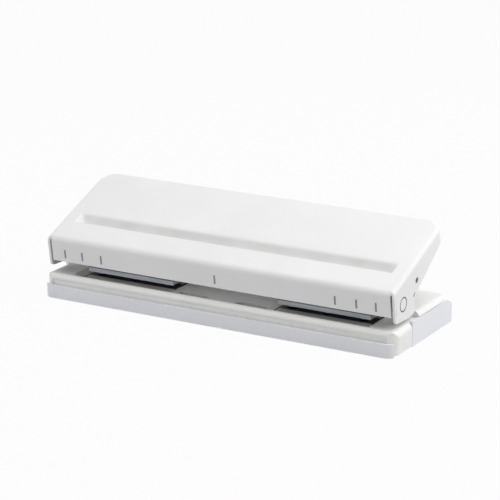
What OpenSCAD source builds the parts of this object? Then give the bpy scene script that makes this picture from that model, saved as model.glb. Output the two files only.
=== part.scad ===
// Six-hole paper punch for ring planners: a pressed steel lever over a moulded
// base, two punching heads of three punches each and a clip-on chip tray.
// Millimetres. X runs along the punch, the front faces -Y, the desk is Z = 0.

/* [Hole pattern] */
// Distance between neighbouring holes of one head
hole_pitch = 19; // [18:0.5:20]
// Distance between the two innermost holes
hole_gap = 70; // [66:1:74]
// Diameter of a punched hole
hole_d = 5.5; // [5:0.1:6]
// Distance from the edge of the paper to the hole centres
hole_margin = 5; // [4.5:0.1:5.5]
// Distance from the front edge back to the hole centres
hole_front = 19.3; // [19:0.1:19.6]

/* [Base] */
// Length of the base over the chip tray
base_l = 194; // [190:1:204]
// Depth of the base from front to back
base_d = 68; // [64:1:74]
// Height of the front deck above the desk
deck_h = 12.2; // [11.5:0.1:13.5]
// Height of the rear cover's rim above the front deck
cover_rise = 3; // [2.6:0.1:3.6]
// Distance from the front edge back to the rear cover
cover_d = 28; // [27:0.25:29.5]
// Distance from the tray's rear edge forward to the cover's
cover_in = 7; // [5.5:0.25:8]
// Rounding of the cover's rear corners seen from above
cover_r = 8; // [6:0.5:12]
// Wall of the moulded base
wall = 2; // [1.8:0.1:2.4]
// Distance from the tray's front to the nose of the base
nose_d = 2; // [1.8:0.1:3]
// Rounding of the nose along the front deck
nose_r = 2; // [1.6:0.1:2.4]
// Depth of the recessed band under the nose
band_t = 0.8; // [0.5:0.1:1]
// Rounding of the front corners seen from above
front_r = 5; // [4:0.25:6]
// Rounding of the deck's two ends
end_r = 3.5; // [2:0.25:5]
// Rounding along the tray's rear edge
rear_r = 12.5; // [9:0.5:14]
// Rounding of the tray's rear corners seen from above
corner_r = 4; // [3:0.5:8]
// Gap between the base and the tray that clips round it
tray_gap = 0.3; // [0.25:0.05:0.5]

/* [Chip tray] */
// Wall of the chip tray
tray_wall = 1.4; // [1.2:0.1:1.8]
// Height of the tray's strip along the front
strip_h = 6.7; // [5.5:0.1:8]
// Distance from the front to the ends of the strip
strip_d = 2.6; // [2.2:0.1:3]
// Distance from the front to where the tray's side walls begin
side_d = 20.8; // [18:0.2:24]

/* [Deck] */
// Depth of the bay behind the nose
bay_sink = 2.2; // [1.8:0.1:2.4]
// Width of the slopes at both ends of the bay
bay_slope = 3; // [2:0.25:5]
// Half width of the web between the two middle windows
web_half = 7.5; // [5:0.5:10]
// Width of the ribs between the windows and the heads
rib_w = 4; // [3:0.25:5]
// Depth of the windows from front to back
window_w = 7.5; // [5.5:0.25:9]
// Rounding of the inner window corners
window_r = 4; // [2:0.25:4.5]
// Flat strip of floor between the nose and the openings
brow_w = 0.8; // [0.5:0.1:1.5]

/* [Heads] */
// Steel sheet of the head frames
frame_t = 1.2; // [1:0.1:1.4]
// Thickness of the die plates
die_t = 1.8; // [1.5:0.1:2]
// How far the die plates lie below the bay's floor
die_sink = 0.1; // [0.05:0.05:0.3]
// Clear height of the throat between die and guide
throat_h = 2.4; // [2:0.1:2.8]
// Steel beyond the outer holes at both ends of a head
head_margin = 5.7; // [5.6:0.1:6.4]
// Gap between a head and the ends of its opening
head_gap = 0.8; // [0.5:0.1:1.2]
// Height of the guide plates with their upturned front edge
guide_edge = 2.6; // [2:0.1:3.2]
// Length of the feet that run back under the cover
foot_l = 11; // [10:0.5:14]
// Radius of the ears round the axle
ear_r = 4.7; // [4.2:0.1:5.2]
// Depth of the ears where they leave the guide plate
ear_foot = 6; // [5:0.1:7]
// Diameter of the screws that hold the heads
screw_d = 2.5; // [2:0.1:3]
// Wall of the bosses round the screws
boss_wall = 1.3; // [1:0.1:1.5]
// Distance from the screws to the rear edge of the feet
screw_in = 4.5; // [4:0.1:5.5]
// Rim of the screw heads beyond the bosses
screw_rim = 1.2; // [0.8:0.1:1.5]
// Distance between the two screws of a head
screw_pitch = 26; // [20:1:32]
// Height of the screw heads
screw_head_h = 1.6; // [1.2:0.1:2]

/* [Punches] */
// How far the punch tips stand below the guide at rest
tip_drop = 1.2; // [0.8:0.1:1.4]
// Depth of the hollow across a punch tip
notch_h = 0.9; // [0.5:0.1:1.2]
// Diameter of the riveted neck of a punch
neck_d = 3.6; // [3:0.1:4]
// Steel of the press bars
bar_t = 1.5; // [1.2:0.1:2]
// Length of the press bars' rear flange
bar_flange = 5; // [3:0.25:6]
// Wire of the return springs
wire_d = 0.8; // [0.6:0.05:1]
// Outer diameter of the return springs
spring_d = 8; // [7.6:0.1:8.2]
// Curls of a return spring
spring_curls = 5; // [4:1:6]

/* [Handle] */
// Width of the handle over its cheeks
handle_w = 191.4; // [188:0.2:192]
// Length of the handle's top from lip to back edge
plate_l = 58.4; // [55:0.2:61]
// Rise of the handle's top at rest, in degrees
rest_tilt = 21.5; // [19:0.5:23]
// Steel sheet of the handle
sheet = 1.2; // [1:0.1:1.4]
// Height of the front lip along its slope
lip_h = 12.6; // [11.5:0.1:13.5]
// Lean of the lip from upright at rest, in degrees
lip_tilt = 8.5; // [6:0.5:11]
// Rounding of the fold between top and lip
lip_r = 3; // [2:0.1:4]
// Slit between the lip and the cheeks
slit_w = 1; // [0.6:0.1:1.5]
// Rounding of the side and back folds
fold_r = 2; // [1.6:0.1:2.1]
// Rounding of the back corners seen from above
back_r = 9; // [6:0.5:12]
// Depth of the skirt at the back edge
skirt_h = 6; // [5:0.25:8]
// Height of the cheek lugs above the desk
lug_h = 14.6; // [14.2:0.1:16]
// Distance from the front to the back of the cheek lugs
lug_d = 25.5; // [22:0.25:26]
// Height where the back of a lug meets the skirt
lug_top = 24.2; // [22:0.2:26]
// Rise of the lug's lower edge towards both corners
lug_rise = 0.6; // [0.3:0.1:1.2]
// Rounding of the lug's corners
lug_r = 2.2; // [1.5:0.1:3]
// Distance from the lip to the near edge of the groove
groove_s = 14.4; // [13:0.1:16]
// Depth of the pressed groove
groove_h = 3; // [2:0.1:3.2]
// Rounding where the far wall runs out into the top
groove_r = 4; // [2:0.25:6]
// Distance from the groove's ends to the cheeks' outer faces
groove_in = 7.5; // [3.5:0.25:8]

// Distance from the cheek's front edge to the crease beside it
crease_in = 1.3; // [1:0.1:2]
// Length of the crease
crease_l = 9.4; // [7:0.2:10]
// Width of the crease
crease_w = 0.4; // [0.3:0.05:0.6]
// Depth of the crease
crease_h = 0.3; // [0.2:0.05:0.5]

/* [Axle and press rod] */
// Distance from the front back to the axle
axle_d = 12.9; // [12.5:0.1:13.5]
// Height of the axle above the desk
axle_h = 22.9; // [22.5:0.1:23.5]
// Distance from the lip's corner to the axle along the top
axle_s = 6.6; // [6.2:0.1:7]
// Distance from the handle's top down to the axle
axle_n = 11.1; // [10.5:0.1:11.5]
// Diameter of the axle
axle_dia = 4; // [3.6:0.1:4.2]
// Diameter of the axle's caps in the cheeks
cap_dia = 6; // [5.8:0.1:7]
// Diameter of the pins that hold the caps
pin_dia = 2; // [1.6:0.1:2.4]
// Length of the pins inside the axle
pin_l = 7; // [5:0.5:10]
// Outer diameter of the spacers on the axle
spacer_dia = 8; // [7:0.1:9]
// Diameter of the press rod
rod_dia = 3; // [2.5:0.1:3.4]
// Distance from the lip's corner to the press rod along the top
rod_s = 22.7; // [21.7:0.1:23.7]
// Distance from the handle's top down to the press rod
rod_n = 9.1; // [8.5:0.1:9.6]
// How far the rod's ends lie inside the cheeks' faces
rod_sink = 0.5; // [0.3:0.1:0.8]
// Outer diameter of the rod's clips
clip_dia = 6.4; // [5.5:0.1:7]
// Thickness of the rod's clips
clip_t = 0.6; // [0.5:0.05:0.8]

/* [Fits] */
// Radial clearance of turning and sliding fits
run_fit = 0.05; // [0.02:0.01:0.1]
// Radial clearance of fixed fits
set_fit = 0.02; // [0.01:0.01:0.05]
// Gap between pieces that move past each other
move_gap = 0.3; // [0.25:0.05:0.5]

/* [Hidden] */
$fn = 48;
eps = 0.01;
far = 200;
over = 1;

// Distances from the front edge become places along Y
function from_front(d) = d - base_d / 2;

// Base heights and half lengths
bay_h = deck_h - bay_sink;
cover_h = deck_h + cover_rise;
cover_y = from_front(cover_d);
seam_h = deck_h + tray_gap;
tray_top = seam_h + tray_gap;
end_x = base_l / 2;
hidden_x = base_l / 2 - tray_wall - tray_gap;
floor_gap = 0.5;
body_foot = tray_wall + tray_gap;
band_x = end_x - front_r + over;

// Head stack
head_x = hole_gap / 2 + hole_pitch;
head_l = 2 * hole_pitch + 2 * head_margin;
hole_y = from_front(hole_front);
stop_y = hole_y + hole_margin;
die_top = bay_h - die_sink;
die_low = die_top - die_t;
guide_low = die_top + throat_h;
guide_top = guide_low + frame_t;
guide_y = hole_y - spring_d / 2 - move_gap - frame_t;
open_y = from_front(nose_d) + 2 * nose_r + brow_w;
open_half = head_l / 2 + head_gap;
foot_y = cover_y + foot_l;
screw_y = foot_y - screw_in;
boss_d = screw_d + 2 * boss_wall;
drive_l = 1.4 * screw_d;
drive_w = 0.25 * screw_d;

// Axle and rod at rest
axle_y = from_front(axle_d);
arm_s = rod_s - axle_s;
arm_n = axle_n - rod_n;
rod_y = axle_y + arm_s * cos(rest_tilt) - arm_n * sin(rest_tilt);
rod_h = axle_h + arm_s * sin(rest_tilt) + arm_n * cos(rest_tilt);
cheek_in = handle_w / 2 - sheet;
axle_end = cheek_in - move_gap;
cap_bevel = 0.5;
clip_seat_d = 0.8 * rod_dia;
clip_mouth = 0.7 * rod_dia;
seat_gap = 0.05;

// Press bars hang just below the rod, between the ears
bar_top = rod_h - rod_dia / 2 - move_gap;
bar_low = bar_top - bar_t;
bar_half = head_l / 2 - frame_t - move_gap;
bar_front = hole_y - spring_d / 2 + seat_gap * spring_d;
bar_back = rod_y + 1.5 * rod_dia;

// Handle in its own flat frame: lip corner at Y = 0, top at Z = 0
function flat_s(d, h) = axle_s + (d - axle_d) * cos(rest_tilt) + (h - axle_h) * sin(rest_tilt);
function flat_z(d, h) = -axle_n - (d - axle_d) * sin(rest_tilt) + (h - axle_h) * cos(rest_tilt);
function flat(d, h) = [flat_s(d, h), flat_z(d, h)];

// The lip leaves the top at a blunt angle; places along it run t down and k outwards
flare = rest_tilt - lip_tilt;
lip_down = [-sin(flare), -cos(flare)];
lip_out = [-cos(flare), sin(flare)];
function lip_at(t, k) = t * lip_down + k * lip_out;
fold_l = lip_r * tan((90 - flare) / 2);
fold_mid = [fold_l, -lip_r];
lip_half = cheek_in - slit_w;

// Distance of the lip's face from the front at a height above the desk
lip_corner_d = axle_d - axle_s * cos(rest_tilt) - axle_n * sin(rest_tilt);
lip_corner_h = axle_h - axle_s * sin(rest_tilt) + axle_n * cos(rest_tilt);
function lip_d(h) = lip_corner_d + (lip_corner_h - h) * tan(lip_tilt);

// Lug corners, seen from the end
lug_knee = axle_d + lug_d / 4;
lug_nose_h = lug_h + lug_rise + lug_r;
lug_nose_d = lip_d(lug_nose_h) + lug_r / cos(lip_tilt);

// Groove centre line and half length
groove_mid = groove_s + groove_h;
groove_half = handle_w / 2 - groove_in;

// Helper that runs a Y-Z profile along X
module along_x(x0, x1) {
  translate([x0, 0, 0])
    rotate([90, 0, 90])
      linear_extrude(x1 - x0)
        children();
}

// Helper that runs an X-Z profile along Y
module along_y(y0, y1) {
  translate([0, y1, 0])
    rotate([90, 0, 0])
      linear_extrude(y1 - y0)
        children();
}

// Round bar along X about a point of the Y-Z plane
module bar_x(x0, x1, y, z, d) {
  translate([x0, y, z])
    rotate([0, 90, 0])
      cylinder(d = d, h = x1 - x0);
}

// Plan with two rounded corners at the back
module tail_plan(half, front, back, r) {
  translate([-half, front])
    square([2 * half, back - r - front]);
  translate([-half + r, front])
    square([2 * (half - r), back - front]);
  for (side = [-1, 1])
    translate([side * (half - r), back - r])
      circle(r);
}

// The same plan with its rounded corners at the front
module nose_plan(half, front, back, r) {
  mirror([0, 1, 0])
    tail_plan(half, -back, -front, r);
}

// Tray seen from above, drawn in by an inset
module base_plan(inset) {
  half = base_l / 2 - inset;
  end = base_d / 2 - inset;
  intersection() {
    tail_plan(half, -end - over, end, corner_r - inset);
    nose_plan(half, -end, end + over, front_r - inset);
  }
}

// Tray seen from the end with its large rounding along the rear edge
module base_side(inset, top) {
  r = rear_r - inset;
  y = base_d / 2 - rear_r;
  z = tray_top - rear_r;
  front = -base_d / 2 + inset;
  intersection() {
    union() {
      translate([front, -far])
        square([y - front, far + top]);
      translate([front, -far])
        square([y + r - front, far + z]);
      translate([y, z])
        circle(r);
    }
    translate([front, inset])
      square([base_d, cover_h]);
  }
}

// Outer form of the tray, drawn in by an inset
module base_form(inset, top) {
  intersection() {
    along_x(-base_l, base_l)
      base_side(inset, top);
    translate([0, 0, -over])
      linear_extrude(cover_h + 2 * over)
        base_plan(inset);
  }
}

// Front view with both top edges rounded
module base_face(half, top, r) {
  translate([-half, -far])
    square([2 * half, top - r + far]);
  translate([-half + r, -far])
    square([2 * (half - r), top + far]);
  for (side = [-1, 1])
    translate([side * (half - r), top - r])
      circle(r);
}

// Front deck seen from the end, with its nose
module deck_side() {
  front = from_front(nose_d);
  back = cover_y + wall;
  translate([front, floor_gap])
    square([back - front, deck_h - nose_r - floor_gap]);
  translate([front + nose_r, floor_gap])
    square([back - front - nose_r, deck_h - floor_gap]);
  translate([front + nose_r, deck_h - nose_r])
    circle(nose_r);
}

// Deck, nose, front wall and end walls
module deck_shell() {
  front = from_front(nose_d);
  strip_end = from_front(strip_d) + tray_gap;
  side_y = from_front(side_d) - tray_gap;
  difference() {
    intersection() {
      along_x(-end_x, end_x)
        deck_side();
      along_y(-base_d, base_d)
        base_face(end_x, deck_h, end_r);
      linear_extrude(cover_h)
        nose_plan(end_x, front, base_d, front_r);
    }
    // Hollow under the deck, open below
    translate([0, 0, -far])
      linear_extrude(far + bay_h - wall)
        nose_plan(end_x - wall, front + wall, base_d, front_r - wall);
    // The front wall stands on the tray's floor
    translate([-end_x + wall, -base_d, -far])
      cube([2 * (end_x - wall), base_d, far + body_foot]);
    translate([-base_l, -base_d, -far])
      cube([2 * base_l, base_d + strip_end, far + body_foot]);
    // The corners step back behind the tray's strip
    difference() {
      translate([-base_l, -base_d, -far])
        cube([2 * base_l, base_d + strip_end, far + strip_h + tray_gap]);
      translate([0, 0, -far])
        linear_extrude(2 * far)
          base_plan(body_foot);
    }
    // Recessed band under the nose
    along_x(-band_x, band_x)
      difference() {
        translate([front - over, strip_h - tray_wall])
          square([over + band_t, deck_h - nose_r - strip_h + tray_wall]);
        translate([front + nose_r, deck_h - nose_r])
          circle(nose_r);
      }
    // Behind the recess the end walls step inside the tray's side walls
    for (side = [-1, 1])
      translate([side * (hidden_x + end_x) - end_x, side_y, -far])
        cube([2 * end_x, base_d, 2 * far]);
    for (side = [-1, 1])
      translate([side * end_x - end_x, side_y, -far])
        cube([2 * end_x, base_d, far + body_foot]);
  }
}

// Bay behind the nose, with sloping ends
module bay() {
  y0 = from_front(nose_d) + nose_r;
  rise = cover_h - bay_h;
  half = open_half + head_x;
  wide = half + bay_slope * rise / bay_sink;
  intersection() {
    along_x(-base_l, base_l)
      difference() {
        translate([y0, bay_h])
          square([cover_y - y0, rise]);
        translate([y0, deck_h - nose_r])
          circle(nose_r);
      }
    along_y(-base_d, base_d)
      polygon([[-half, bay_h], [half, bay_h], [wide, cover_h], [-wide, cover_h]]);
  }
}

// Block of the rear cover with rounded rim, drawn in by an inset
module cover_form(inset) {
  half = base_l / 2 - inset;
  back = base_d / 2 - cover_in - inset;
  top = cover_h - inset;
  r = cover_rise - inset / 2;
  intersection() {
    linear_extrude(top)
      tail_plan(half, cover_y + inset, back, cover_r - inset);
    along_y(-base_d, base_d)
      base_face(half, top, r);
    along_x(-base_l, base_l) {
      translate([-base_d, 0])
        square([back + base_d, top - r]);
      translate([-base_d, 0])
        square([back - r + base_d, top]);
      translate([back - r, top - r])
        circle(r);
    }
  }
}

// Rear cover that closes down onto the tray, and the wall below its front
module cover_shell() {
  difference() {
    cover_form(0);
    cover_form(wall);
    intersection() {
      base_form(-tray_gap, cover_h);
      translate([-base_l, -base_d, -over])
        cube([2 * base_l, 2 * base_d, tray_top + over]);
    }
  }
  translate([-hidden_x, cover_y, body_foot])
    cube([2 * hidden_x, wall, cover_h - wall / 2 - body_foot]);
}

// Boss and seat of one screw under the cover
module screw_boss() {
  top = cover_h - wall / 2;
  translate([0, 0, die_low + die_sink])
    cylinder(d = boss_d, h = top - die_low - die_sink);
  translate([0, 0, die_top + frame_t])
    cylinder(d = boss_d + 2 * wall, h = top - die_top - frame_t);
}

// Moulded base with deck, rear cover, openings and screw bosses
module base_body() {
  color("whitesmoke")
    difference() {
      union() {
        difference() {
          deck_shell();
          bay();
        }
        cover_shell();
        for (side = [-1, 1])
          die_ledge(side);
        for (side = [-1, 1], end = [-1, 1])
          translate([side * head_x + end * screw_pitch / 2, screw_y, 0])
            screw_boss();
      }
      for (side = [-1, 1]) {
        head_opening(side);
        window(side);
        for (end = [-1, 1])
          translate([side * head_x + end * screw_pitch / 2, screw_y, 0])
            cylinder(d = screw_d + 2 * set_fit, h = cover_h - wall / 2);
      }
    }
}

// Ledge under the front edge of a die plate
module die_ledge(side) {
  front = from_front(nose_d) + wall * 3 / 4;
  half = open_half + wall / 2;
  translate([side * head_x - half, front, die_low - wall])
    cube([2 * half, open_y + wall / 2 - front, bay_h - wall / 2 - die_low + wall]);
}

// Opening of the floor and the wall behind it round one head
module head_opening(side) {
  translate([side * head_x - open_half, open_y, die_low])
    cube([2 * open_half, cover_y - open_y, cover_h]);
  translate([side * head_x - open_half, open_y + wall, -far])
    cube([2 * open_half, cover_y - open_y - wall, far + cover_h]);
  translate([side * head_x - open_half, cover_y - wall, die_low - move_gap])
    cube([2 * open_half, 2 * wall + move_gap, die_t + frame_t + 2 * move_gap]);
}

// Window of the floor between a head and the middle web
module window(side) {
  wide = head_x - open_half - rib_w - web_half;
  mirror([side < 0 ? 1 : 0, 0, 0])
    translate([web_half, open_y, bay_h - 2 * wall])
      linear_extrude(far) {
        translate([window_r, 0])
          square([wide - window_r, window_w]);
        square([wide, window_w - window_r]);
        translate([window_r, window_w - window_r])
          circle(window_r);
      }
}

// Clip-on tray for the chips, with a low strip along the front
module chip_tray() {
  color("lightsteelblue", 0.7)
    difference() {
      intersection() {
        base_form(0, tray_top);
        translate([-base_l, -base_d, 0])
          cube([2 * base_l, 2 * base_d, seam_h]);
      }
      // Inside, above the floor
      base_form(tray_wall, cover_h);
      // Only the strip stands in front of the base
      translate([-base_l, -base_d, strip_h])
        cube([2 * base_l, base_d + from_front(side_d), far]);
      // Recesses at both ends, where the base reaches down to the desk
      for (side = [-1, 1])
        translate([side * (2 * end_x - wall - tray_gap) - end_x, from_front(strip_d), -far])
          cube([2 * end_x, side_d - strip_d, 2 * far]);
    }
}

// Places flat-frame pieces at rest on the axle
module on_lever() {
  translate([0, axle_y, axle_h])
    rotate([rest_tilt, 0, 0])
      translate([0, -axle_s, axle_n])
        children();
}

// Section of a wall that folds into the top at a distance from its start
module fold_side(reach, inset, r) {
  translate([0, -far])
    square([reach, far - fold_r]);
  translate([0, -far])
    square([reach - r, far - inset]);
  translate([reach - r, -fold_r])
    circle(r);
}

// Block under the handle's top with rounded side and back folds, drawn in by an inset
module lid(inset, depth) {
  half = handle_w / 2 - inset;
  r = fold_r - inset;
  big_r = back_r - inset;
  turn_y = plate_l - back_r;
  intersection() {
    union() {
      along_y(-lip_h - inset, turn_y)
        base_face(half, -inset, r);
      translate([0, turn_y, 0])
        along_x(-half + big_r, half - big_r)
          fold_side(big_r, inset, r);
      for (side = [-1, 1])
        translate([side * (half - big_r), turn_y, 0])
          rotate_extrude()
            fold_side(big_r, inset, r);
    }
    translate([-far, -far, -depth])
      cube([2 * far, 2 * far, depth + over]);
  }
}

// Outline of fold and lip, drawn in by an inset
module lip_form(inset, length) {
  translate(fold_mid)
    circle(lip_r - inset);
  polygon([fold_mid, lip_at(fold_l, -inset), lip_at(length, -inset), lip_at(length, -lip_r)]);
}

// Fold and lip in section
module lip_side() {
  intersection() {
    difference() {
      lip_form(0, lip_h);
      lip_form(sheet, lip_h + over);
    }
    polygon([
      fold_mid,
      [fold_mid[0], lip_r],
      lip_at(-lip_r, 2 * lip_r),
      lip_at(lip_h + over, lip_r),
      lip_at(lip_h + over, -lip_r)
    ]);
  }
}

// Top, cheeks and skirt, with room for the lip in front
module lever_shell(depth) {
  difference() {
    lid(0, depth);
    lid(sheet, depth + over);
    translate([-lip_half, -far, -far])
      cube([2 * lip_half, far + fold_mid[0], 2 * far]);
    // The cheeks' front edges follow the lip, their top corners are cut off
    along_x(-handle_w, handle_w)
      polygon([lip_at(far, 0), lip_at(fold_l, 0), [fold_l, 0] - lip_at(over, -over), [-far, far]]);
  }
  along_x(-lip_half, lip_half)
    lip_side();
}

// Side view of the sheet that stays: lugs in front, tapering skirt behind
module cheek_side() {
  reach = plate_l + back_r;
  polygon([
    flat(-far, lug_nose_h),
    flat(lug_nose_d, lug_nose_h),
    flat(lug_nose_d, lug_h + lug_rise),
    flat(lug_knee, lug_h),
    flat(lug_d - lug_r, lug_h + lug_rise),
    flat(lug_d, lug_nose_h),
    flat(lug_d, lug_top - lug_r),
    flat(lug_d + lug_r, lug_top + lug_r / 2),
    [plate_l, -skirt_h],
    [reach, -skirt_h],
    [reach, far],
    [-far, far]
  ]);
  translate(flat(lug_nose_d, lug_nose_h))
    circle(lug_r);
  translate(flat(lug_d - lug_r, lug_nose_h))
    circle(lug_r);
}

// Groove section: round floor, crisp near edge, sloping far wall that runs out softly
module groove_side(r, soft) {
  top = groove_mid + r * sqrt(2);
  run = soft * tan(22.5);
  intersection() {
    translate([groove_mid, 0])
      circle(r);
    translate([groove_mid - r, -2 * r])
      square([2 * r, 2 * r]);
  }
  polygon([[groove_mid, 0], [groove_mid + r * sin(45), -r * cos(45)], [top, 0]]);
  difference() {
    polygon([[top - run * cos(45), -run * sin(45)], [top + run, 0], [top, eps]]);
    translate([top + run, -soft])
      circle(soft);
  }
}

// Groove with sloping ends
module groove(r, soft, half) {
  intersection() {
    along_x(-handle_w, handle_w)
      groove_side(r, soft);
    along_y(0, plate_l)
      polygon([
        [-half - over, over],
        [-half + 2 * r, -2 * r],
        [half - 2 * r, -2 * r],
        [half + over, over]
      ]);
  }
}

// Pressed steel lever with lip, cheeks, skirt and groove
module handle() {
  depth = lug_h + plate_l;
  color("white")
    on_lever()
      difference() {
        intersection() {
          union() {
            lever_shell(depth);
            intersection() {
              groove(groove_h + sheet, eps, groove_half + sheet);
              translate([-far, 0, -far])
                cube([2 * far, 2 * far, far - sheet / 2]);
            }
          }
          along_x(-far, far)
            cheek_side();
        }
        groove(groove_h, groove_r, groove_half);
        // Creases beside the cheeks' front edges
        for (side = [-1, 1])
          along_x(side * handle_w / 2 - crease_h, side * handle_w / 2 + crease_h)
            translate(lip_at(fold_r + crease_in, -crease_in))
              polygon([
                lip_at(0, 0),
                lip_at(crease_l, 0),
                lip_at(crease_l, -crease_w),
                lip_at(0, -crease_w)
              ]);
        // Holes for the axle caps, with a bevel outside, and for the rod
        bar_x(-far, far, axle_s, -axle_n, cap_dia + 2 * run_fit);
        for (side = [-1, 1])
          translate([side * handle_w / 2, axle_s, -axle_n])
            rotate([0, -90 * side, 0])
              cylinder(d1 = cap_dia + 2 * cap_bevel, d2 = cap_dia, h = cap_bevel);
        bar_x(-far, far, rod_s, -rod_n, rod_dia + 2 * set_fit);
      }
}

// Axle through the ears of both heads, bored for the cap pins
module pivot_axle() {
  color("silver")
    difference() {
      bar_x(-axle_end, axle_end, axle_y, axle_h, axle_dia);
      for (side = [-1, 1])
        bar_x(side * axle_end - pin_l, side * axle_end + pin_l, axle_y, axle_h, pin_dia + 2 * set_fit);
    }
}

// Flush cap on one end of the axle, on which a cheek turns
module axle_cap(side) {
  color("white")
    mirror([side < 0 ? 1 : 0, 0, 0]) {
      bar_x(axle_end, handle_w / 2, axle_y, axle_h, cap_dia);
      bar_x(axle_end - pin_l + over, axle_end + eps, axle_y, axle_h, pin_dia);
    }
}

// Spacer tube that keeps the handle centred on its axle
module spacer(side) {
  x0 = head_x + head_l / 2 + eps;
  color("dimgray")
    mirror([side < 0 ? 1 : 0, 0, 0])
      difference() {
        bar_x(x0, axle_end, axle_y, axle_h, spacer_dia);
        bar_x(x0 - over, axle_end + over, axle_y, axle_h, axle_dia + 2 * set_fit);
      }
}

// Rod across the handle that drives both press bars
module press_rod() {
  end = handle_w / 2 - rod_sink;
  color("silver")
    difference() {
      bar_x(-end, end, rod_y, rod_h, rod_dia);
      for (side = [-1, 1])
        clip_ring(side, clip_seat_d, rod_dia + over, clip_t + 2 * set_fit);
    }
}

// Ring about the rod just inside a cheek
module clip_ring(side, inner, outer, t) {
  x = side * (cheek_in - set_fit - clip_t / 2 - seat_gap);
  difference() {
    bar_x(x - t / 2, x + t / 2, rod_y, rod_h, outer);
    bar_x(x - t, x + t, rod_y, rod_h, inner);
  }
}

// Snap rings that keep the rod between the cheeks
module rod_clips() {
  color("gray")
    for (side = [-1, 1])
      difference() {
        clip_ring(side, clip_seat_d + 2 * set_fit, clip_dia, clip_t);
        translate([side * cheek_in, rod_y, rod_h + clip_dia / 2])
          cube([4 * clip_t, clip_mouth, clip_dia], center = true);
      }
}

// Folded frame of one head: foot, paper stop, guide plate and axle ears
module head_frame(side) {
  color("silver")
    translate([side * head_x, 0, 0])
      difference() {
        union() {
          translate([-head_l / 2, stop_y, die_top])
            cube([head_l, foot_y - stop_y, frame_t]);
          translate([-head_l / 2, stop_y, die_top])
            cube([head_l, frame_t, guide_top - die_top]);
          translate([-head_l / 2, guide_y, guide_low])
            cube([head_l, stop_y + frame_t - guide_y, frame_t]);
          translate([-head_l / 2, guide_y, guide_low])
            cube([head_l, frame_t, guide_edge]);
          for (end = [-1, 1])
            along_x(end * (head_l - frame_t) / 2 - frame_t / 2, end * (head_l - frame_t) / 2 + frame_t / 2)
              ear_side();
        }
        for (i = [-1 : 1])
          translate([i * hole_pitch, hole_y, guide_low - over])
            cylinder(d = hole_d + 2 * run_fit, h = frame_t + 2 * over);
        for (end = [-1, 1])
          translate([end * screw_pitch / 2, screw_y, die_top - over])
            cylinder(d = boss_d + 2 * set_fit, h = frame_t + 2 * over);
        bar_x(-head_l, head_l, axle_y, axle_h, axle_dia + 2 * set_fit);
      }
}

// Ear of a head frame seen from the end
module ear_side() {
  translate([guide_y, guide_low])
    square([ear_foot, axle_h - guide_low]);
  translate([axle_y, axle_h])
    circle(ear_r);
}

// Die plate of one head with its three die holes
module die_plate(side) {
  front = open_y + move_gap;
  color("darkgray")
    translate([side * head_x, 0, die_low])
      difference() {
        translate([-head_l / 2, front, 0])
          cube([head_l, foot_y - front, die_t]);
        for (i = [-1 : 1])
          translate([i * hole_pitch, hole_y, -over])
            cylinder(d = hole_d + 2 * run_fit, h = die_t + 2 * over);
        for (end = [-1, 1])
          translate([end * screw_pitch / 2, screw_y, -over])
            cylinder(d = boss_d + 2 * set_fit, h = die_t + 2 * over);
      }
}

// Screws that pull both heads up against the cover
module frame_screws() {
  color("gray")
    for (side = [-1, 1], end = [-1, 1])
      translate([side * head_x + end * screw_pitch / 2, screw_y, die_low - screw_head_h]) {
        difference() {
          cylinder(d = boss_d + 2 * screw_rim, h = screw_head_h);
          for (turn = [0, 90])
            rotate(turn)
              cube([drive_l, drive_w, screw_head_h], center = true);
        }
        cylinder(d = screw_d, h = screw_head_h + cover_h - wall - die_low);
      }
}

// Bent bar that presses the three punches of one head
module press_bar(side) {
  color("silver")
    translate([side * head_x, 0, 0])
      difference() {
        union() {
          translate([-bar_half, bar_front, bar_low])
            cube([2 * bar_half, bar_back - bar_front, bar_t]);
          translate([-bar_half, bar_back - bar_t, bar_top - bar_flange])
            cube([2 * bar_half, bar_t, bar_flange]);
        }
        for (i = [-1 : 1])
          translate([i * hole_pitch, hole_y, bar_low - over])
            cylinder(d = neck_d + 2 * set_fit, h = bar_t + 2 * over);
      }
}

// Place of hole number i, counted from the left
function hole_x(i) = (i < 3 ? -head_x : head_x) + (i % 3 - 1) * hole_pitch;

// Punch with hollow tip and riveted neck
module punch(i) {
  tip = guide_low - tip_drop;
  color("lightgray")
    translate([hole_x(i), hole_y, 0])
      difference() {
        union() {
          translate([0, 0, tip])
            cylinder(d = hole_d, h = bar_low - tip);
          translate([0, 0, bar_low - over])
            cylinder(d = neck_d, h = bar_t + over);
        }
        translate([0, 0, tip])
          rotate([45, 0, 0])
            cube([2 * hole_d, notch_h * sqrt(2), notch_h * sqrt(2)], center = true);
      }
}

// Return spring: one tube along a helix with straight ends
spring_r = (spring_d - wire_d) / 2;
spring_z0 = guide_top + wire_d / 2 + seat_gap;
spring_z1 = bar_low - wire_d / 2 - seat_gap;
spring_rings = 8;
spring_sides = 6;
spring_steps = spring_curls * spring_rings;
spring_rise = (spring_z1 - spring_z0) / spring_steps;
function spring_turn(k) = 360 * k / spring_rings;
function spring_axis(k) = [
  spring_r * cos(spring_turn(k)),
  spring_r * sin(spring_turn(k)),
  spring_z0 + spring_rise * k
];
function unit(v) = v / norm(v);
function spring_way(k) = unit([
  -sin(spring_turn(k)) * 2 * PI * spring_r / spring_rings,
  cos(spring_turn(k)) * 2 * PI * spring_r / spring_rings,
  spring_rise
]);
function spring_centre(k) =
  k < 0 ? spring_axis(0) - wire_d * unit([0, 1, 0]) :
  k > spring_steps ? spring_axis(spring_steps) + wire_d * unit([0, 1, 0]) :
  spring_axis(k);
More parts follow.
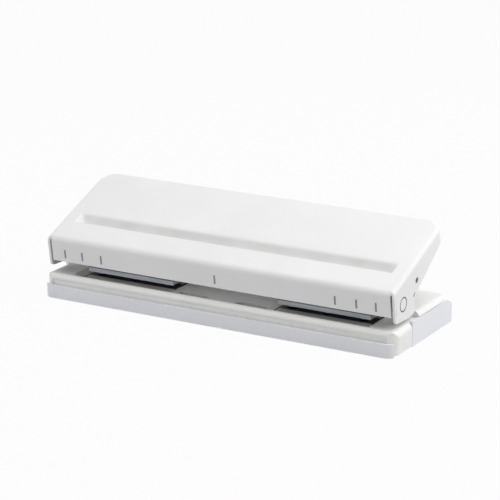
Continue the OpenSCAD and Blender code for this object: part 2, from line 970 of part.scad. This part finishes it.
function spring_ring(k) =
  let (kk = max(0, min(spring_steps, k)),
       out = [cos(spring_turn(kk)), sin(spring_turn(kk)), 0],
       up = cross(out, spring_way(kk)))
  [for (j = [0 : spring_sides - 1])
    spring_centre(k) + wire_d / 2 * (cos(360 * j / spring_sides) * out + sin(360 * j / spring_sides) * up)];
spring_points = [for (k = [-1 : spring_steps + 1]) each spring_ring(k)];
spring_count = spring_steps + 3;
function spring_id(k, j) = k * spring_sides + j % spring_sides;
spring_faces = concat(
  [for (j = [1 : spring_sides - 2]) [0, j, j + 1]],
  [for (j = [1 : spring_sides - 2]) let (b = (spring_count - 1) * spring_sides) [b, b + j + 1, b + j]],
  [for (k = [0 : spring_count - 2], j = [0 : spring_sides - 1])
    [spring_id(k, j), spring_id(k + 1, j), spring_id(k + 1, j + 1)]],
  [for (k = [0 : spring_count - 2], j = [0 : spring_sides - 1])
    [spring_id(k, j), spring_id(k + 1, j + 1), spring_id(k, j + 1)]]
);
spring_free = min([for (a = [0 : spring_steps], b = [0 : spring_steps])
  if (b - a > spring_rings / 2) norm(spring_axis(b) - spring_axis(a)) - wire_d]);
echo(least_gap_between_spring_curls = spring_free);

module return_spring(i) {
  color("silver")
    translate([hole_x(i), hole_y, 0])
      polyhedron(points = spring_points, faces = spring_faces);
}

base_body();
chip_tray();
handle();
pivot_axle();
axle_cap(-1);  // left_axle_cap
axle_cap(1);  // right_axle_cap
spacer(-1);  // left_spacer
spacer(1);  // right_spacer
press_rod();
rod_clips();
head_frame(-1);  // left_frame
head_frame(1);  // right_frame
die_plate(-1);  // left_die_plate
die_plate(1);  // right_die_plate
frame_screws();
press_bar(-1);  // left_press_bar
press_bar(1);  // right_press_bar
punch(0);  // punch_1
punch(1);  // punch_2
punch(2);  // punch_3
punch(3);  // punch_4
punch(4);  // punch_5
punch(5);  // punch_6
return_spring(0);  // return_spring_1
return_spring(1);  // return_spring_2
return_spring(2);  // return_spring_3
return_spring(3);  // return_spring_4
return_spring(4);  // return_spring_5
return_spring(5);  // return_spring_6
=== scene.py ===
import math

import bmesh
import bpy
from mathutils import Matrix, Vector

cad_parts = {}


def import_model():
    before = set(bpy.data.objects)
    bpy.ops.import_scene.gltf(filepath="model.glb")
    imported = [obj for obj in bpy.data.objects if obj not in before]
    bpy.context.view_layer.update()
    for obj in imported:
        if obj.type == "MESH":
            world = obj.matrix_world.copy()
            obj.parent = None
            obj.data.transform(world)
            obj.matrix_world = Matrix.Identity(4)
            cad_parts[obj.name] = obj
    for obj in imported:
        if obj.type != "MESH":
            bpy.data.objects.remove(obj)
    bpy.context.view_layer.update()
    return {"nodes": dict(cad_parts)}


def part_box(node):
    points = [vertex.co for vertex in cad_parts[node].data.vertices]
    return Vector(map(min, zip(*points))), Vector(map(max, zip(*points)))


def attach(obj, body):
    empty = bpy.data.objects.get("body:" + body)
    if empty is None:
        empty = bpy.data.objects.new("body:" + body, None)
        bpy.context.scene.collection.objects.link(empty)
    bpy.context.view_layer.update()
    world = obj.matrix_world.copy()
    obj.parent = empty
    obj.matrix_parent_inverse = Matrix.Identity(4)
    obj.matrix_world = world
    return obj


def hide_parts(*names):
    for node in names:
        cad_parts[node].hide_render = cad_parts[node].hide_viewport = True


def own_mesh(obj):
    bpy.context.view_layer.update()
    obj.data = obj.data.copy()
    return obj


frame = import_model()
nodes = frame["nodes"]

MM = 0.001
WHITE = (1.0, 1.0, 1.0, 1.0)

# Lever geometry at rest, shared with the solids, in millimetres
AXLE = (-21.1, 22.9)
AXLE_S, AXLE_N = 6.6, 11.1
TILT = math.radians(21.5)
FLARE = math.radians(13.0)
CHEEK_X = 95.7

# Where painted shade begins and ends, as start and end of a fade in millimetres
GROOVE_DEPTH = (AXLE_N - 0.1, AXLE_N - 0.8)
GROOVE_SIDES = ((3.0, 4.0), (18.0, 15.0))
GROOVE_ENDS = ((-88.5, -83.0), (88.5, 83.0))
FRAME_SHADE_Z = (14.1, 14.5)
DIE_SHADOW_Y = (-19.2, -18.2)

# Middles of the tick marks along the lip
TICK_X = (-86.0, -75.9, -64.8, 0.0, 64.8, 75.9, 86.0)

SPRINGS = 6

# Share of plain white in the floor as the camera sees it
FLOOR_GLOW = 0.96
FLOOR_TONE = (0.5, 0.5, 0.5, 1.0)
FLOOR_HALF = 3.0
FLOOR_Z = -0.0002
WORLD_STRENGTH = 0.3


def lever(x, s, n):
    """Point of the lever at rest: s back from the lip's corner, n below the top."""
    ds, up = s - AXLE_S, AXLE_N - n
    y = AXLE[0] + ds * math.cos(TILT) - up * math.sin(TILT)
    z = AXLE[1] + ds * math.sin(TILT) + up * math.cos(TILT)
    return Vector((x, y, z)) * MM


def on_lip(x, t, k):
    """Point near the sloping lip: t down from its corner, k in front of its face."""
    s = -t * math.sin(FLARE) - k * math.cos(FLARE)
    n = t * math.cos(FLARE) - k * math.sin(FLARE)
    return lever(x, s, n)


def angles(count):
    return [2 * math.pi * k / count for k in range(count)]


def side_name(side):
    return "right" if side > 0 else "left"


# Materials
def new_material(name, color, roughness, metallic=0.0):
    mat = bpy.data.materials.new(name)
    mat.use_nodes = True
    tree = mat.node_tree
    shader = tree.nodes["Principled BSDF"]
    shader.inputs["Base Color"].default_value = (*color, 1.0)
    shader.inputs["Roughness"].default_value = roughness
    shader.inputs["Metallic"].default_value = metallic
    return mat, tree, shader


def noise(tree, scale, detail=4.0, stretch=(1.0, 1.0, 1.0)):
    coords = tree.nodes.new("ShaderNodeTexCoord")
    mapping = tree.nodes.new("ShaderNodeMapping")
    mapping.inputs["Scale"].default_value = stretch
    tex = tree.nodes.new("ShaderNodeTexNoise")
    tex.inputs["Scale"].default_value = scale
    tex.inputs["Detail"].default_value = detail
    tree.links.new(coords.outputs["Object"], mapping.inputs["Vector"])
    tree.links.new(mapping.outputs["Vector"], tex.inputs["Vector"])
    return tex.outputs["Fac"]


def ramp(tree, value, low, high, start=0.35, end=0.65):
    node = tree.nodes.new("ShaderNodeValToRGB")
    node.color_ramp.elements[0].position = start
    node.color_ramp.elements[1].position = end
    node.color_ramp.elements[0].color = (*low, 1.0)
    node.color_ramp.elements[1].color = (*high, 1.0)
    tree.links.new(value, node.inputs["Fac"])
    return node.outputs["Color"]


def spread(tree, value, low, high):
    node = tree.nodes.new("ShaderNodeMapRange")
    node.inputs["To Min"].default_value = low
    node.inputs["To Max"].default_value = high
    tree.links.new(value, node.inputs["Value"])
    return node.outputs["Result"]


def fade(tree, vector, axis, start, end):
    """Fade from 0 at start to 1 at end along one axis, in millimetres."""
    split = tree.nodes.new("ShaderNodeSeparateXYZ")
    node = tree.nodes.new("ShaderNodeMapRange")
    node.interpolation_type = "SMOOTHSTEP"
    node.inputs["From Min"].default_value = start * MM
    node.inputs["From Max"].default_value = end * MM
    tree.links.new(vector, split.inputs["Vector"])
    tree.links.new(split.outputs[axis], node.inputs["Value"])
    return node.outputs["Result"]


def along(tree, axis, start, end):
    coords = tree.nodes.new("ShaderNodeTexCoord")
    return fade(tree, coords.outputs["Object"], axis, start, end)


def along_lever(tree, axis, start, end):
    """Fade along the tilted top: Y runs back from the axle, Z up from it."""
    coords = tree.nodes.new("ShaderNodeTexCoord")
    mapping = tree.nodes.new("ShaderNodeMapping")
    mapping.vector_type = "TEXTURE"
    mapping.inputs["Location"].default_value = (0.0, AXLE[0] * MM, AXLE[1] * MM)
    mapping.inputs["Rotation"].default_value = (TILT, 0.0, 0.0)
    tree.links.new(coords.outputs["Object"], mapping.inputs["Vector"])
    return fade(tree, mapping.outputs["Vector"], axis, start, end)


def blend(tree, factor, first, second):
    node = tree.nodes.new("ShaderNodeMix")
    node.data_type = "RGBA"
    tree.links.new(factor, node.inputs["Factor"])
    tree.links.new(first, node.inputs["A"])
    tree.links.new(second, node.inputs["B"])
    return node.outputs["Result"]


def product(tree, first, second):
    node = tree.nodes.new("ShaderNodeMath")
    node.operation = "MULTIPLY"
    tree.links.new(first, node.inputs[0])
    tree.links.new(second, node.inputs[1])
    return node.outputs["Value"]


def bump(tree, shader, value, strength, distance):
    node = tree.nodes.new("ShaderNodeBump")
    node.inputs["Strength"].default_value = strength
    node.inputs["Distance"].default_value = distance
    tree.links.new(value, node.inputs["Height"])
    tree.links.new(node.outputs["Normal"], shader.inputs["Normal"])


def surface(tree, shader, tone, grain, smooth, rough):
    """Colour from a tone, roughness from a grain between two values."""
    tree.links.new(tone, shader.inputs["Base Color"])
    tree.links.new(spread(tree, grain, smooth, rough), shader.inputs["Roughness"])


def painted_steel():
    mat, tree, shader = new_material("white_paint", (0.862, 0.854, 0.858), 0.54)
    paint_tone = ramp(tree, noise(tree, 35.0, 3.0), (0.848, 0.84, 0.845), (0.875, 0.867, 0.871))
    # Painted shade: the paint inside the groove on the top is made darker, standing for
    # the shade the groove holds
    groove_shade = ramp(tree, noise(tree, 90.0, 4.0), (0.72, 0.715, 0.71), (0.77, 0.765, 0.76))
    groove = along_lever(tree, "Z", *GROOVE_DEPTH)
    for start, end in GROOVE_SIDES:
        groove = product(tree, groove, along_lever(tree, "Y", start, end))
    for start, end in GROOVE_ENDS:
        groove = product(tree, groove, along(tree, "X", start, end))
    surface(tree, shader, blend(tree, groove, paint_tone, groove_shade), noise(tree, 260.0), 0.48, 0.6)
    bump(tree, shader, noise(tree, 1500.0, 2.0), 0.06, 0.0002)
    shader.inputs["Specular IOR Level"].default_value = 0.3
    return mat


def moulded_plastic():
    mat, tree, shader = new_material("white_plastic", (0.88, 0.877, 0.862), 0.45)
    tone = ramp(tree, noise(tree, 50.0, 3.0), (0.87, 0.867, 0.851), (0.89, 0.887, 0.873))
    surface(tree, shader, tone, noise(tree, 420.0), 0.4, 0.52)
    bump(tree, shader, noise(tree, 2600.0, 2.0), 0.08, 0.0001)
    shader.inputs["Specular IOR Level"].default_value = 0.3
    shader.inputs["Subsurface Weight"].default_value = 0.05
    shader.inputs["Subsurface Radius"].default_value = (0.002, 0.0018, 0.0015)
    return mat


def frosted_plastic():
    mat, tree, shader = new_material("clear_plastic", (0.935, 0.952, 0.998), 0.4)
    tone = ramp(tree, noise(tree, 30.0, 2.0), (0.925, 0.943, 0.994), (0.945, 0.961, 1.0))
    surface(tree, shader, tone, noise(tree, 500.0), 0.34, 0.46)
    bump(tree, shader, noise(tree, 1800.0, 2.0), 0.05, 0.0001)
    shader.inputs["Transmission Weight"].default_value = 0.14
    shader.inputs["IOR"].default_value = 1.49
    return mat


def brushed_steel():
    mat, tree, shader = new_material("steel", (0.55, 0.56, 0.58), 0.3, 1.0)
    grain = noise(tree, 60.0, 6.0, (1.0, 40.0, 40.0))
    tone = ramp(tree, grain, (0.48, 0.49, 0.51), (0.6, 0.61, 0.63))
    surface(tree, shader, tone, grain, 0.24, 0.42)
    bump(tree, shader, grain, 0.1, 0.0001)
    return mat


def plated_steel():
    mat, tree, shader = new_material("plated_steel", (0.46, 0.49, 0.53), 0.45, 0.8)
    grain = noise(tree, 60.0, 6.0, (1.0, 30.0, 30.0))
    tone = ramp(tree, grain, (0.43, 0.46, 0.5), (0.54, 0.57, 0.61))
    # Painted shade: the frame plates turn nearly black above their upper edge, where the
    # lever shades them
    top_shade = ramp(tree, grain, (0.1, 0.105, 0.115), (0.16, 0.165, 0.175))
    mixed = blend(tree, along(tree, "Z", *FRAME_SHADE_Z), tone, top_shade)
    surface(tree, shader, mixed, grain, 0.4, 0.54)
    bump(tree, shader, grain, 0.08, 0.0001)
    return mat


def die_steel():
    mat, tree, shader = new_material("die_steel", (0.7, 0.69, 0.65), 0.6, 0.1)
    grain = noise(tree, 90.0, 5.0, (1.0, 12.0, 12.0))
    bare = ramp(tree, grain, (0.67, 0.66, 0.62), (0.74, 0.73, 0.69))
    # Painted shadow: the die plates turn black behind the guide plate's front edge, where
    # the throat lies in shadow
    throat_shadow = ramp(tree, grain, (0.02, 0.022, 0.026), (0.05, 0.053, 0.06))
    mixed = blend(tree, along(tree, "Y", *DIE_SHADOW_Y), bare, throat_shadow)
    surface(tree, shader, mixed, grain, 0.52, 0.7)
    bump(tree, shader, grain, 0.08, 0.0001)
    return mat


def spring_steel():
    mat, tree, shader = new_material("spring_steel", (0.3, 0.3, 0.31), 0.3, 1.0)
    grain = noise(tree, 900.0, 3.0)
    tone = ramp(tree, grain, (0.25, 0.25, 0.26), (0.35, 0.35, 0.36))
    surface(tree, shader, tone, grain, 0.2, 0.34)
    return mat


def blackened_steel():
    mat, tree, shader = new_material("blackened_steel", (0.1, 0.1, 0.105), 0.45, 0.5)
    grain = noise(tree, 800.0, 4.0)
    tone = ramp(tree, grain, (0.075, 0.075, 0.08), (0.13, 0.13, 0.135))
    surface(tree, shader, tone, grain, 0.38, 0.54)
    return mat


def dark_plastic():
    mat, tree, shader = new_material("dark_plastic", (0.05, 0.05, 0.055), 0.5)
    grain = noise(tree, 700.0, 3.0)
    tone = ramp(tree, grain, (0.04, 0.04, 0.044), (0.065, 0.065, 0.07))
    surface(tree, shader, tone, grain, 0.42, 0.58)
    return mat


def tick_ink():
    mat, tree, shader = new_material("tick_ink", (0.27, 0.27, 0.28), 0.55)
    grain = noise(tree, 2500.0, 3.0)
    tone = ramp(tree, grain, (0.23, 0.23, 0.24), (0.31, 0.31, 0.32))
    surface(tree, shader, tone, grain, 0.45, 0.65)
    return mat


paint = painted_steel()
plastic = moulded_plastic()
frosted = frosted_plastic()
steel = brushed_steel()
frame_steel = plated_steel()
die = die_steel()
spring_wire = spring_steel()
blackened = blackened_steel()
dark = dark_plastic()
ink = tick_ink()

# Nodes that aren't named here are bare steel
node_materials = {
    "base_body": plastic,
    "chip_tray": frosted,
    "handle": paint,
    "left_axle_cap": paint,
    "right_axle_cap": paint,
    "left_frame": frame_steel,
    "right_frame": frame_steel,
    "left_die_plate": die,
    "right_die_plate": die,
    "press_rod": blackened,
    "left_spacer": dark,
    "right_spacer": dark,
}
for name, obj in nodes.items():
    obj.data.materials.clear()
    obj.data.materials.append(node_materials.get(name, steel))


# Mesh helpers
def new_piece(name, mesh, material, body):
    obj = bpy.data.objects.new(name, mesh)
    bpy.context.scene.collection.objects.link(obj)
    mesh.materials.append(material)
    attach(obj, body)
    return obj


def prism(bm, low, high):
    """Close the band between two rings of points, with a face on each."""
    count = len(low)
    bm.faces.new(high)
    bm.faces.new(low[::-1])
    for k in range(count):
        n = (k + 1) % count
        bm.faces.new((low[k], low[n], high[n], high[k]))


def band(bm, first, second):
    """Join two loops of points with a ring of faces."""
    for j in range(len(first)):
        n = (j + 1) % len(first)
        bm.faces.new((first[j], first[n], second[n], second[j]))


def finish_mesh(bm, name):
    bmesh.ops.recalc_face_normals(bm, faces=bm.faces)
    mesh = bpy.data.meshes.new(name)
    bm.to_mesh(mesh)
    bm.free()
    return mesh


# Printed tick marks on the lip
def tick_marks():
    proud, width, top, bottom, points = 0.04, 1.0, 6.0, 10.7, 24
    bm = bmesh.new()
    for x in TICK_X:
        ring = []
        for a in angles(points):
            dx = width / 2 * math.cos(a)
            dn = width / 2 * math.sin(a)
            mid = bottom - width / 2 if dn > 0 else top + width / 2
            ring.append((x + dx, mid + dn))
        low = [bm.verts.new(on_lip(px, pn, 0.0)) for px, pn in ring]
        high = [bm.verts.new(on_lip(px, pn, proud)) for px, pn in ring]
        prism(bm, low, high)
    new_piece("tick_marks", finish_mesh(bm, "tick_marks"), ink, "lever")


tick_marks()


# Painted shade: a dark ring round each axle cap, in the bevel of the cheek's hole,
# standing for the shadow in the gap
def cap_gap_shade(side):
    section = ((3.03, -0.42), (3.46, 0.0), (3.66, 0.0), (3.66, 0.03), (3.03, 0.03))
    turns = 48
    bm = bmesh.new()
    loops = []
    for a in angles(turns):
        loop = []
        for r, out in section:
            y = AXLE[0] + r * math.cos(a)
            z = AXLE[1] + r * math.sin(a)
            loop.append(bm.verts.new(Vector((side * (CHEEK_X + out), y, z)) * MM))
        loops.append(loop)
    for first, second in zip(loops, loops[1:] + loops[:1]):
        band(bm, first, second)
    name = side_name(side) + "_cap_gap_shade"
    new_piece(name, finish_mesh(bm, name), blackened, "lever")


# Painted shade: a short dark strip where each cheek's lug meets the skirt, standing for
# the shade seen through a relief slit there
def slit_shade(side):
    start, stop = Vector((-10.2, 23.85)), Vector((-8.85, 25.1))
    half, proud, points = 0.32, 0.03, 20
    way = (stop - start).normalized()
    across = Vector((-way.y, way.x))
    bm = bmesh.new()
    ring = []
    for a in angles(points):
        end = stop if math.cos(a) > 0 else start
        ring.append(end + half * (math.cos(a) * way + math.sin(a) * across))
    low = [bm.verts.new(Vector((side * CHEEK_X, y, z)) * MM) for y, z in ring]
    high = [bm.verts.new(Vector((side * (CHEEK_X + proud), y, z)) * MM) for y, z in ring]
    prism(bm, low, high)
    name = side_name(side) + "_slit_shade"
    new_piece(name, finish_mesh(bm, name), dark, "lever")


for side in (-1, 1):
    cap_gap_shade(side)
    slit_shade(side)


# Return springs as smooth round wire
def return_spring(node):
    low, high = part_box(node)
    centre = (low + high) / 2
    wire, outer = 0.8 * MM, 8.0 * MM
    radius = (outer - wire) / 2
    z0, z1 = low.z + wire / 2, high.z - wire / 2
    curls, rings, sides = 5, 32, 12
    steps = curls * rings
    rise = (z1 - z0) / curls / (2 * math.pi * radius)
    bm = bmesh.new()
    loops = []
    for k in range(steps + 1):
        a = 2 * math.pi * k / rings
        out = Vector((math.cos(a), math.sin(a), 0.0))
        way = Vector((-math.sin(a), math.cos(a), rise)).normalized()
        up = out.cross(way)
        mid = Vector((centre.x, centre.y, z0 + (z1 - z0) * k / steps)) + radius * out
        loops.append([bm.verts.new(mid + wire / 2 * (math.cos(b) * out + math.sin(b) * up))
                      for b in angles(sides)])
    for first, second in zip(loops, loops[1:]):
        band(bm, first, second)
    bm.faces.new(loops[0])
    bm.faces.new(loops[-1])
    mesh = finish_mesh(bm, node + "_wire")
    mesh.polygons.foreach_set("use_smooth", [True] * len(mesh.polygons))
    piece = new_piece(node + "_wire", mesh, spring_wire, "base")
    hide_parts(node)
    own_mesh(piece)


for i in range(1, SPRINGS + 1):
    return_spring("return_spring_%d" % i)


# Floor, light and camera
def seen_rays(tree):
    """1 for camera, glossy and transmission rays, 0 for the others."""
    path = tree.nodes.new("ShaderNodeLightPath")
    value = path.outputs["Is Camera Ray"]
    for ray in ("Is Glossy Ray", "Is Transmission Ray"):
        node = tree.nodes.new("ShaderNodeMath")
        node.operation = "MAXIMUM"
        tree.links.new(value, node.inputs[0])
        tree.links.new(path.outputs[ray], node.inputs[1])
        value = node.outputs["Value"]
    return value


def floor_material():
    mat = bpy.data.materials.new("floor")
    mat.use_nodes = True
    tree = mat.node_tree
    tree.nodes.remove(tree.nodes["Principled BSDF"])
    out = tree.nodes["Material Output"]
    diffuse = tree.nodes.new("ShaderNodeBsdfDiffuse")
    diffuse.inputs["Color"].default_value = FLOOR_TONE
    glow = tree.nodes.new("ShaderNodeEmission")
    glow.inputs["Color"].default_value = WHITE
    share = tree.nodes.new("ShaderNodeMath")
    share.operation = "MULTIPLY"
    share.inputs[1].default_value = FLOOR_GLOW
    mix = tree.nodes.new("ShaderNodeMixShader")
    tree.links.new(seen_rays(tree), share.inputs[0])
    tree.links.new(share.outputs["Value"], mix.inputs["Fac"])
    tree.links.new(diffuse.outputs["BSDF"], mix.inputs[1])
    tree.links.new(glow.outputs["Emission"], mix.inputs[2])
    tree.links.new(mix.outputs["Shader"], out.inputs["Surface"])
    return mat


def floor():
    bm = bmesh.new()
    bmesh.ops.create_grid(bm, x_segments=8, y_segments=8, size=FLOOR_HALF)
    mesh = bpy.data.meshes.new("floor")
    bm.to_mesh(mesh)
    bm.free()
    obj = bpy.data.objects.new("floor", mesh)
    obj.location = (0.0, 0.0, FLOOR_Z)
    bpy.context.scene.collection.objects.link(obj)
    mesh.materials.append(floor_material())
    # The tray stays on the floor when the punch is lifted off it
    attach(obj, "tray")


def world(strength):
    scene_world = bpy.data.worlds.new("studio")
    bpy.context.scene.world = scene_world
    scene_world.use_nodes = True
    tree = scene_world.node_tree
    back = tree.nodes["Background"]
    back.inputs["Color"].default_value = WHITE
    level = spread(tree, seen_rays(tree), strength, 1.0)
    tree.links.new(level, back.inputs["Strength"])


def place_aimed(obj, place, aim):
    obj.location = place
    obj.rotation_euler = (Vector(aim) - Vector(place)).to_track_quat("-Z", "Y").to_euler()
    bpy.context.scene.collection.objects.link(obj)


def softbox(name, place, aim, size, watts):
    light = bpy.data.lights.new(name, "AREA")
    light.shape = "RECTANGLE"
    light.size, light.size_y = size
    light.energy = watts
    place_aimed(bpy.data.objects.new(name, light), place, aim)


def camera(place, aim, lens):
    cam = bpy.data.cameras.new("camera")
    cam.sensor_fit = "HORIZONTAL"
    cam.sensor_width = 36.0
    cam.lens = lens
    cam.clip_end = 20.0
    obj = bpy.data.objects.new("camera", cam)
    place_aimed(obj, place, aim)
    bpy.context.scene.camera = obj


floor()
world(WORLD_STRENGTH)
softbox("key", (0.45, 0.12, 0.5), (0.0, 0.0, 0.03), (0.8, 0.8), 4.2)
softbox("top", (-0.1, 0.25, 1.1), (0.0, 0.0, 0.03), (1.2, 0.8), 2.5)
softbox("fill", (-0.45, -0.9, 0.2), (0.0, 0.0, 0.01), (0.7, 0.3), 1.9)
softbox("left", (-0.75, -0.6, 0.55), (0.0, 0.0, 0.02), (0.6, 0.6), 1.6)
camera((0.4995, -0.878, 0.3321), (0.00367, -0.002, 0.0306), 155.26)

bpy.context.scene.view_settings.view_transform = "Standard"
